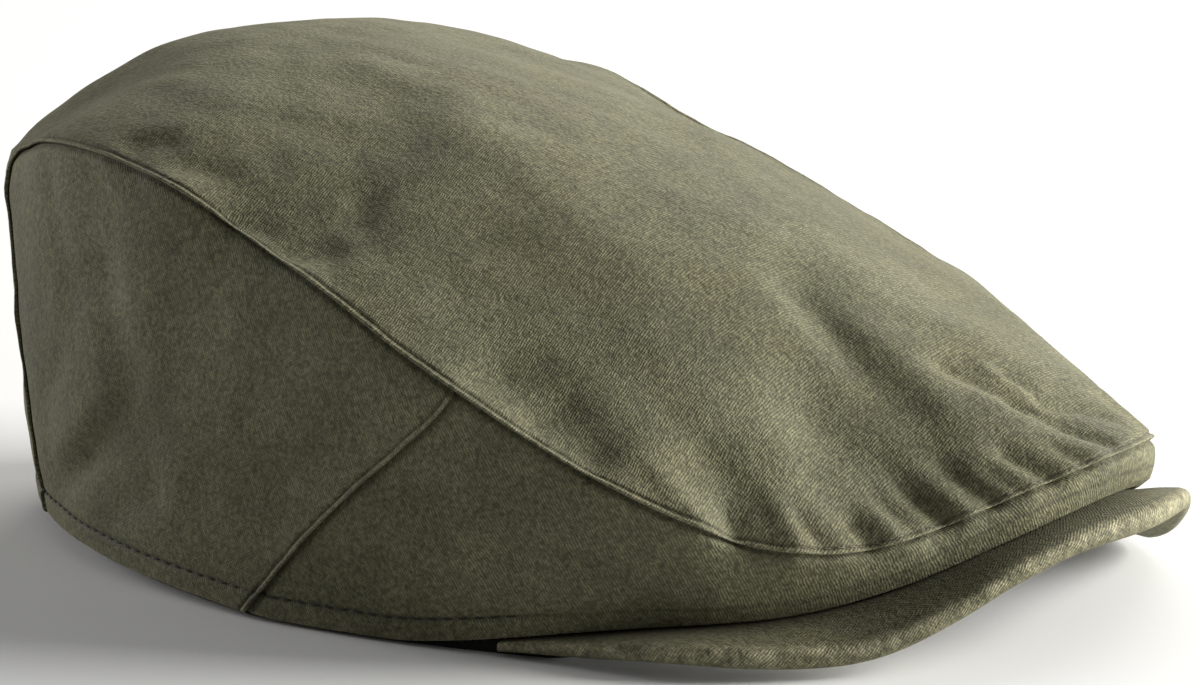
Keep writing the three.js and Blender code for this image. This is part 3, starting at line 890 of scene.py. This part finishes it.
def hem_inset(angle, inset, z):
    """The hem's plan curve, moved inward, at a height."""
    ahead = oval(angle + ANGLE_STEP, hem_share(angle + ANGLE_STEP), z)
    behind = oval(angle - ANGLE_STEP, hem_share(angle - ANGLE_STEP), z)
    inward = np.cross(unit(ahead - behind), [0.0, 0.0, 1.0])
    return oval(angle, hem_share(angle), z) + inward * np.asarray(inset)[..., None]


# The sweatband's columns and rows, and how deep and how long the waves of its face are
BAND_GRID = (400, 20)
BAND_ROW_POWER = 1.5
BAND_WAVE = 0.25
BAND_WAVE_LENGTH = 9


def sweatband(material):
    """The folded tape inside the hem. Its lower edge is rounded and its face is a little uneven."""
    columns, rows = BAND_GRID
    angles = np.linspace(-180, 180, columns + 1)[:-1]
    hidden = np.where(np.cos(np.radians(angles)) > 0, PEAK_THICKNESS, BAND_SHOW)
    foot = np.maximum(0, hem_lift(angles) - hidden)
    head = np.minimum(foot + BAND_HEIGHT, ridge_point(angles)[:, 2])
    lean = BAND_LEAN_BACK + (BAND_LEAN_FRONT - BAND_LEAN_BACK) * np.clip(lift_share(angles), 0, 1)
    outside = CLOTH + 2 * SEAM_GAP
    skins = {outside: [], outside + BAND_THICKNESS: []}
    shares = np.linspace(0, 1, rows + 1) ** BAND_ROW_POWER
    for inset, points in skins.items():
        for share in shares:
            z = foot + (head - foot) * share
            waves = [noise.noise(Vector((a / BAND_WAVE_LENGTH, share * 2, 3.3))) for a in angles]
            moved = inset + lean * share + BAND_WAVE * np.array(waves) * min(1, 4 * share)
            points.append(hem_inset(angles, moved, z))
    outer, inner = [np.concatenate(points) for points in skins.values()]
    points, faces, rim = closed_shell(outer, inner, ring_faces(0, rows, columns))
    points[:, 2] = np.maximum(points[:, 2], 0)
    flat = np.stack([np.tile(arc(angles), rows + 1), outer[:, 2]], -1)
    flat = on_shell(flat, rim)
    return finish_piece("sweatband", points, faces, material, {}, flat)


PEAK_STATIONS = 320
PEAK_TOP_LINES = 22
PEAK_NOSE_TURNS = np.linspace(78, -78, 11)
PEAK_NOSE_POWER = 0.85
PEAK_PUFF = 0.25
PEAK_PUFF_AT = 0.45
PEAK_PUFF_WIDTH = 0.4
PEAK_WEAR_AT = 0.6
PEAK_PAINTED_SHADE = 1.3
PEAK_ROUGH = 0.25
PEAK_ROUGH_SIZE = 14.0
PEAK_LOWEST = 0.05


def peak_rows(angle):
    """The peak's cross-section at an angle: how far out and how high its points are, how worn, and its
    painted shade.
    """
    along = min(1.0, abs(angle) / PEAK_END)
    width = PEAK_WIDTH * float(peak_share(angle))
    thickness = PEAK_THICKNESS + (PEAK_END_THICKNESS - PEAK_THICKNESS) * along**PEAK_TAPER
    nose = thickness / 2
    inner = HEM_LIFT + float(hem_lift(angle)) - SEAM_GAP
    slope = PEAK_DIP * float(peak_dip(angle)) / PEAK_WIDTH
    out = np.linspace(-CLOTH - SEAM_GAP, width - nose, PEAK_TOP_LINES + 1)
    plain = inner - slope * np.maximum(0, out)
    room = smoothstep(2, 5, width)
    puff = PEAK_PUFF * bump(out, width * PEAK_PUFF_AT, width * PEAK_PUFF_WIDTH) * room
    turn = np.radians(PEAK_NOSE_TURNS)
    round_out = width - nose + nose * np.abs(np.cos(turn)) ** PEAK_NOSE_POWER
    rise = nose * np.sign(np.sin(turn)) * np.abs(np.sin(turn)) ** PEAK_NOSE_POWER
    round_z = plain[-1] - nose + rise
    outs = np.concatenate([out, round_out, out[::-1]])
    heights = np.concatenate([plain + puff, round_z, (plain - thickness)[::-1]])
    top_wear = bump(width - out, nose * PEAK_WEAR_AT, width=0.9)
    edge_wear = bump(PEAK_NOSE_TURNS, 30, width=60)
    wear = np.concatenate([top_wear, edge_wear, 0 * out])
    # Painted shade on the peak's top next to the band, where the band overhangs it.
    painted_shade = np.concatenate([PEAK_PAINTED_SHADE * bump(out, 0, width=6.5), 0 * turn, 0 * out])
    return outs, heights, wear, painted_shade


def peak(material):
    """The stiff peak: a covered board with a rounded, worn edge."""
    angles = np.linspace(-PEAK_END, PEAK_END, PEAK_STATIONS + 1)
    points, wears, painted_shades, flats = [], [], [], []
    for angle in angles:
        outs, heights, wear, painted_shade = peak_rows(angle)
        spread = np.full(len(outs), angle)
        points.append(hem_inset(spread, -outs, heights))
        wears.append(wear)
        painted_shades.append(painted_shade)
        steps = np.hypot(np.diff(outs), np.diff(heights))
        flats.append(np.stack([arc(spread), np.concatenate([[0], np.cumsum(steps)])], -1))
    faces = tube_faces(0, PEAK_STATIONS, len(points[0]))
    points = np.concatenate(points)
    rough = np.array([noise.noise(Vector(point) / PEAK_ROUGH_SIZE) for point in points])
    off_floor = smoothstep(0.3, 1.2, points[:, 2])
    points[:, 2] += PEAK_ROUGH * rough * off_floor
    points[:, 2] = np.maximum(points[:, 2], PEAK_LOWEST)
    values = {"wear": np.concatenate(wears), "painted_shade": np.concatenate(painted_shades)}
    flat = np.concatenate(flats)
    return finish_piece("peak", points, faces, material, values, flat)


# Stitches: a short thread lies between two needle holes and dips at both
STITCH_SIDES = 6
STITCH_RINGS = (-0.9, -0.6, -0.2, 0.2, 0.6, 0.9)
STITCH_AHEAD = 0.3
STITCH_TAPER = 0.8
STITCH_DIP = 1.6
HEM_STITCH_RISE = 0.25
SEAM_STITCH_RISE = 0.05
REAR_STITCH_LEVELS = np.linspace(0.03, 0.95, 120)
SLANT_STITCH_LEVELS = np.linspace(0.08, 0.93, 120)


def stitches(name, lines, length, pitch, radius, material):
    """One object with a stitch at each pitch of each line of points and outward directions."""
    points, faces = [], []
    for line, outward in lines:
        along = np.concatenate([[0], np.cumsum(length_of(np.diff(line, axis=0)))])
        places = np.arange(pitch / 2, along[-1] - pitch / 2, pitch)
        centres = np.stack([np.interp(places, along, line[:, k]) for k in range(3)], -1)
        ahead = np.stack([np.interp(places + STITCH_AHEAD, along, line[:, k]) for k in range(3)], -1)
        ups = unit(np.stack([np.interp(places, along, outward[:, k]) for k in range(3)], -1))
        for centre, front, up in zip(centres, unit(ahead - centres), ups):
            side = np.cross(up, front)
            first = len(points)
            for ring in STITCH_RINGS:
                size = radius * math.sqrt(1 - ring * ring * STITCH_TAPER)
                middle = centre + front * ring * length / 2 - up * radius * STITCH_DIP * ring**4
                for k in range(STITCH_SIDES):
                    turn = 2 * math.pi * k / STITCH_SIDES
                    points.append(middle + (side * math.cos(turn) + up * math.sin(turn)) * size)
            faces += tube_faces(first, len(STITCH_RINGS) - 1, STITCH_SIDES)
    piece = make_object(name, np.array(points), faces, material)
    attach(piece, "root")
    return piece


def raised(angle, level, height):
    base, outward = base_cloth(angle, level)
    return base + outward * height, outward


def hem_stitches(material):
    """The dark stitches that hold the turned hem, from one end of the peak round the back."""
    whole = np.linspace(HEM_ENDS_TO, 360 - HEM_ENDS_TO, 500)
    angle = np.where(whole > 180, whole - 360, whole)
    level = HEM_ALLOWANCE / wall_length(angle)
    lines = [raised(angle, level, -HEM_GROOVE + HEM_STITCH_RISE)]
    return stitches("hem_stitches", lines, length=2.5, pitch=3.3, radius=0.24, material=material)


def seam_stitches(material):
    """The rows of edge stitching along the top panel's seam and the slanting seams."""
    height = float(over_height(STITCH_AT)) + SEAM_STITCH_RISE
    front = np.linspace(-REAR_SEAM + 4, REAR_SEAM - 4, 700)
    lines = [raised(front, level_at(front, STITCH_AT + 0 * front), height)]
    for side in (1, -1):
        rear = side * turn_by(float(REAR_SEAM), STITCH_AT) + 0 * REAR_STITCH_LEVELS
        lines.append(raised(rear, REAR_STITCH_LEVELS, height))
        slant = side * turn_by(slant_seam(SLANT_STITCH_LEVELS), STITCH_AT * SLANT_SPREAD)
        lines.append(raised(slant, SLANT_STITCH_LEVELS, height))
    return stitches("seam_stitches", lines, length=1.9, pitch=2.7, radius=0.13, material=material)


# Materials: the weave in millimetres, and shares of the cloth's patterns and tones
WEAVE_PITCH = 0.54
WEAVE_WOBBLE = 0.9
THREAD_SHARE = 0.2
TWILL_SHARE = 0.8
CLOUD_SHARE = 0.6
WARM_SHARE = 0.55
WORN_SHARE = 0.5
# Painted shade: how strongly it darkens creases and grooves, and its tone as a share of the darkest
# tone
PAINTED_SHADE_SHARE = 0.45
PAINTED_SHADE_TONE = 0.35
SLUB_SHARE = 0.2
GRAIN_LEVEL = 0.92
LINE_LEVEL = 0.6
ROUGHNESS_SPREAD = 0.2


class Nodes:
    """A material's node tree with short calls to add and join nodes."""

    def __init__(self, name):
        self.material = bpy.data.materials.new(name)
        self.material.use_nodes = True
        self.tree = self.material.node_tree
        self.shader = self.tree.nodes["Principled BSDF"]

    def add(self, kind, inputs=None, **settings):
        node = self.tree.nodes.new("ShaderNode" + kind)
        for key, value in settings.items():
            setattr(node, key, value)
        for key, value in (inputs or {}).items():
            self.set(node.inputs[key], value)
        return node

    def set(self, socket, value):
        if isinstance(value, bpy.types.NodeSocket):
            self.tree.links.new(value, socket)
        else:
            socket.default_value = value

    def math(self, operation, a, b=0.0, c=0.0, clamp=False):
        node = self.add("Math", {0: a, 1: b, 2: c}, operation=operation, use_clamp=clamp)
        return node.outputs[0]

    def times(self, a, b, clamp=False):
        return self.math("MULTIPLY", a, b, clamp=clamp)

    def times_plus(self, a, b, c):
        return self.math("MULTIPLY_ADD", a, b, c)

    def wave(self, distance, pitch):
        """A sine wave between 0 and 1."""
        turns = self.times(distance, 2 * math.pi / pitch)
        return self.times_plus(self.math("SINE", turns), 0.5, 0.5)

    def mix(self, share, a, b, blend="MIX"):
        node = self.add("Mix", data_type="RGBA", blend_type=blend)
        self.set(node.inputs[0], share)
        self.set(node.inputs[6], a)
        self.set(node.inputs[7], b)
        return node.outputs[2]

    def noise(self, vector, scale, detail=2.0, roughness=0.5):
        inputs = {"Vector": vector, "Scale": scale, "Detail": detail, "Roughness": roughness}
        return self.add("TexNoise", inputs).outputs["Fac"]

    def ramp(self, value, low, high):
        node = self.add("MapRange", {"Value": value, "From Min": low, "From Max": high})
        return node.outputs["Result"]


def tone(red, green, blue):
    return (red, green, blue, 1.0)


def scaled(colour, share):
    return tone(*(share * part for part in colour[:3]))


def weave_pattern(nodes, place, lean):
    """Twill lines at a lean in degrees, broken here and there, with a fainter crossing thread."""
    flat = nodes.add("UVMap", uv_map="weave").outputs["UV"]
    turned = nodes.add("Mapping", {"Vector": flat, "Rotation": (0, 0, math.radians(lean))})
    lines = nodes.add("SeparateXYZ", {"Vector": turned.outputs[0]})
    wobble = nodes.noise(flat, scale=0.35)
    twill = nodes.wave(nodes.times_plus(wobble, WEAVE_WOBBLE, lines.outputs["X"]), WEAVE_PITCH)
    thread = nodes.wave(lines.outputs["Y"], WEAVE_PITCH)
    broken = nodes.ramp(nodes.noise(place, scale=700.0, roughness=0.6), 0.3, 0.6)
    lined = nodes.times(nodes.times(twill, broken), TWILL_SHARE)
    return nodes.times_plus(thread, THREAD_SHARE, lined)


def cloth_tones(nodes, place, patches, tones, wear_tone):
    """Cloudy tones, paler on worn edges, with painted shade in creases and grooves."""
    clouds = nodes.noise(place, scale=24.0, detail=3.0, roughness=0.55)
    cloudy = nodes.times_plus(clouds, CLOUD_SHARE, nodes.times(patches, 1 - CLOUD_SHARE))
    hue = nodes.ramp(nodes.noise(place, scale=38.0), 0.48, 0.7)
    dark, middle, light, warm = tones
    colour = nodes.mix(nodes.ramp(cloudy, 0.36, 0.52), dark, middle)
    colour = nodes.mix(nodes.ramp(cloudy, 0.5, 0.66), colour, light)
    colour = nodes.mix(nodes.times(hue, WARM_SHARE), colour, warm)
    wear = nodes.add("Attribute", attribute_name="wear").outputs["Fac"]
    rubbed = nodes.noise(place, scale=260.0, detail=3.0, roughness=0.65)
    worn = nodes.times(nodes.times(wear, nodes.ramp(rubbed, 0.32, 0.62)), WORN_SHARE, clamp=True)
    colour = nodes.mix(worn, colour, wear_tone)
    # Painted shade: the points' shade value darkens the colour toward a darker copy of the darkest
    # tone.
    painted_shade = nodes.add("Attribute", attribute_name="painted_shade").outputs["Fac"]
    painted_shade_mix = nodes.times(painted_shade, PAINTED_SHADE_SHARE, clamp=True)
    return nodes.mix(painted_shade_mix, colour, scaled(dark, PAINTED_SHADE_TONE))


def cloth_material(name, tones, wear_tone, lean, roughness, sheen):
    """Woven cloth with cloudy tones, a grain, twill lines, and fine and coarse unevenness."""
    nodes = Nodes(name)
    place = nodes.add("TexCoord").outputs["Object"]
    weave = weave_pattern(nodes, place, lean)
    patches = nodes.noise(place, scale=75.0, detail=4.0, roughness=0.6)
    colour = cloth_tones(nodes, place, patches, tones, wear_tone)
    speckle = nodes.ramp(nodes.noise(place, scale=1300.0, detail=1.0), 0.3, 0.7)
    slubs = nodes.ramp(nodes.noise(place, scale=420.0, detail=3.0, roughness=0.6), 0.35, 0.65)
    grain = nodes.math("ADD", speckle, nodes.times_plus(slubs, SLUB_SHARE, GRAIN_LEVEL))
    value = nodes.times(grain, nodes.math("ADD", weave, LINE_LEVEL))
    grey = nodes.add("CombineColor", {"Red": value, "Green": value, "Blue": value}).outputs[0]
    colour = nodes.mix(1.0, colour, grey, "MULTIPLY")

    height = nodes.times_plus(weave, 0.7, nodes.times(speckle, 0.6))
    fine = nodes.add("Bump", {"Strength": 0.8, "Distance": 0.00016, "Height": height})
    rumple = nodes.noise(place, scale=180.0, detail=3.0, roughness=0.6)
    coarse = nodes.add("Bump", {"Strength": 0.5, "Distance": 0.0005, "Height": rumple})
    nodes.set(coarse.inputs["Normal"], fine.outputs[0])
    rough = nodes.times_plus(patches, ROUGHNESS_SPREAD, roughness - ROUGHNESS_SPREAD / 2)
    nodes.set(nodes.shader.inputs["Base Color"], colour)
    nodes.set(nodes.shader.inputs["Roughness"], rough)
    nodes.set(nodes.shader.inputs["Normal"], coarse.outputs[0])
    nodes.shader.inputs["Specular IOR Level"].default_value = 0.22
    nodes.shader.inputs["Sheen Weight"].default_value = sheen
    nodes.shader.inputs["Sheen Roughness"].default_value = 0.45
    nodes.shader.inputs["Sheen Tint"].default_value = tone(0.8, 0.76, 0.56)
    return nodes.material


def thread_material(name, colour):
    """Sewing thread with fine fibres, from its colour to a paler one."""
    nodes = Nodes(name)
    place = nodes.add("TexCoord").outputs["Object"]
    fibre = nodes.noise(place, scale=2500.0, roughness=0.6)
    nodes.set(nodes.shader.inputs["Base Color"], nodes.mix(fibre, colour, scaled(colour, 1.6)))
    fibres = nodes.add("Bump", {"Strength": 0.4, "Distance": 0.0001, "Height": fibre})
    nodes.set(nodes.shader.inputs["Normal"], fibres.outputs[0])
    nodes.shader.inputs["Roughness"].default_value = 0.7
    return nodes.material


OLIVE = (
    tone(0.056, 0.054, 0.030),
    tone(0.074, 0.072, 0.041),
    tone(0.095, 0.092, 0.053),
    tone(0.085, 0.077, 0.042),
)
WORN_OLIVE = tone(0.27, 0.25, 0.165)
BLACK = (
    tone(0.006, 0.006, 0.006),
    tone(0.010, 0.010, 0.009),
    tone(0.016, 0.015, 0.014),
    tone(0.012, 0.010, 0.009),
)
WORN_BLACK = tone(0.03, 0.03, 0.028)

top_cloth = cloth_material("waxed_cotton_top", OLIVE, WORN_OLIVE, lean=90, roughness=0.7, sheen=0.15)
wall_cloth = cloth_material("waxed_cotton_walls", OLIVE, WORN_OLIVE, lean=28, roughness=0.7, sheen=0.1)
peak_cloth = cloth_material("waxed_cotton_peak", OLIVE, WORN_OLIVE, lean=40, roughness=0.72, sheen=0.1)
black_twill = cloth_material("black_twill", BLACK, WORN_BLACK, lean=55, roughness=0.8, sheen=0.1)
dark_thread = thread_material("dark_thread", tone(0.012, 0.012, 0.010))
olive_thread = thread_material("olive_thread", tone(0.11, 0.102, 0.068))

top_panel(top_cloth)
front_panel(wall_cloth)
rear_panel("rear_panel_right", 1, wall_cloth)
rear_panel("rear_panel_left", -1, wall_cloth)
sweatband(black_twill)
peak(peak_cloth)
hem_stitches(dark_thread)
seam_stitches(olive_thread)

# The camera looks at the cap from its front right, a little above the floor.
VIEW_AZIMUTH = math.radians(59.1)
VIEW_ELEVATION = math.radians(11.8)
VIEW_ROLL = math.radians(-0.25)
VIEW_DISTANCE = 1.5
VIEW_TARGET = Vector((0, 0.0062, 0.045))
PHOTO_WIDTH = 1200
PHOTO_HEIGHT = 685
PIXELS_PER_METRE = 5058
TARGET_PIXEL = (561.2, 326.4)
SENSOR = 36
NEAREST_SEEN = 0.05

# Lights, in metres, watts and shares of white
LIGHTS_AIM = Vector((0, 0, 0.05))
WARM_LIGHT = (1.0, 0.99, 0.95)
PALE_LIGHT = (1.0, 0.99, 0.97)
SURROUND = 0.15
FLOOR_TONE = 0.92
FLOOR_HALF = 6.0


def camera():
    rise = math.sin(VIEW_ELEVATION)
    run = math.cos(VIEW_ELEVATION)
    back = Vector((-math.sin(VIEW_AZIMUTH) * run, -math.cos(VIEW_AZIMUTH) * run, rise))
    right = Vector((math.cos(VIEW_AZIMUTH), -math.sin(VIEW_AZIMUTH), 0))
    axes = Matrix((right, back.cross(right), back)).transposed().to_4x4()
    turn = axes @ Matrix.Rotation(-VIEW_ROLL, 4, "Z")
    data = bpy.data.cameras.new("camera")
    data.sensor_width = SENSOR
    data.lens = SENSOR * PIXELS_PER_METRE * VIEW_DISTANCE / PHOTO_WIDTH
    data.shift_x = (PHOTO_WIDTH / 2 - TARGET_PIXEL[0]) / PHOTO_WIDTH
    data.shift_y = (TARGET_PIXEL[1] - PHOTO_HEIGHT / 2) / PHOTO_WIDTH
    data.clip_start = NEAREST_SEEN
    viewer = bpy.data.objects.new("camera", data)
    bpy.context.scene.collection.objects.link(viewer)
    viewer.matrix_world = Matrix.Translation(VIEW_TARGET + back * VIEW_DISTANCE) @ turn
    bpy.context.scene.camera = viewer


def lamp(name, place, size, power, colour):
    """A square soft light that faces the cap."""
    data = bpy.data.lights.new(name, "AREA")
    data.size = size
    data.energy = power
    data.color = colour
    light = bpy.data.objects.new(name, data)
    light.location = place
    aim = LIGHTS_AIM - Vector(place)
    light.rotation_euler = aim.to_track_quat("-Z", "Y").to_euler()
    bpy.context.scene.collection.objects.link(light)


def studio():
    """A pale floor in a dim surround, a main light in front and faint ones beside and behind."""
    mesh = bpy.data.meshes.new("floor")
    half = FLOOR_HALF
    corners = [(-half, -half, 0), (half, -half, 0), (half, half, 0), (-half, half, 0)]
    mesh.from_pydata(corners, [], [(0, 1, 2, 3)])
    nodes = Nodes("floor")
    nodes.shader.inputs["Base Color"].default_value = tone(FLOOR_TONE, FLOOR_TONE, FLOOR_TONE)
    nodes.shader.inputs["Roughness"].default_value = 0.9
    mesh.materials.append(nodes.material)
    floor = bpy.data.objects.new("floor", mesh)
    bpy.context.scene.collection.objects.link(floor)
    world = bpy.data.worlds.new("studio")
    world.use_nodes = True
    background = world.node_tree.nodes["Background"]
    background.inputs[0].default_value = tone(1, 1, 1)
    background.inputs[1].default_value = SURROUND
    bpy.context.scene.world = world
    lamp("side", (0.82, -1.22, 0.43), size=1.0, power=62, colour=WARM_LIGHT)
    lamp("top", (1.35, 0.15, 0.9), size=1.2, power=12, colour=PALE_LIGHT)
    lamp("back", (-0.15, 1.4, 0.4), size=0.6, power=9, colour=PALE_LIGHT)


bpy.context.scene.view_settings.view_transform = "Standard"
camera()
studio()
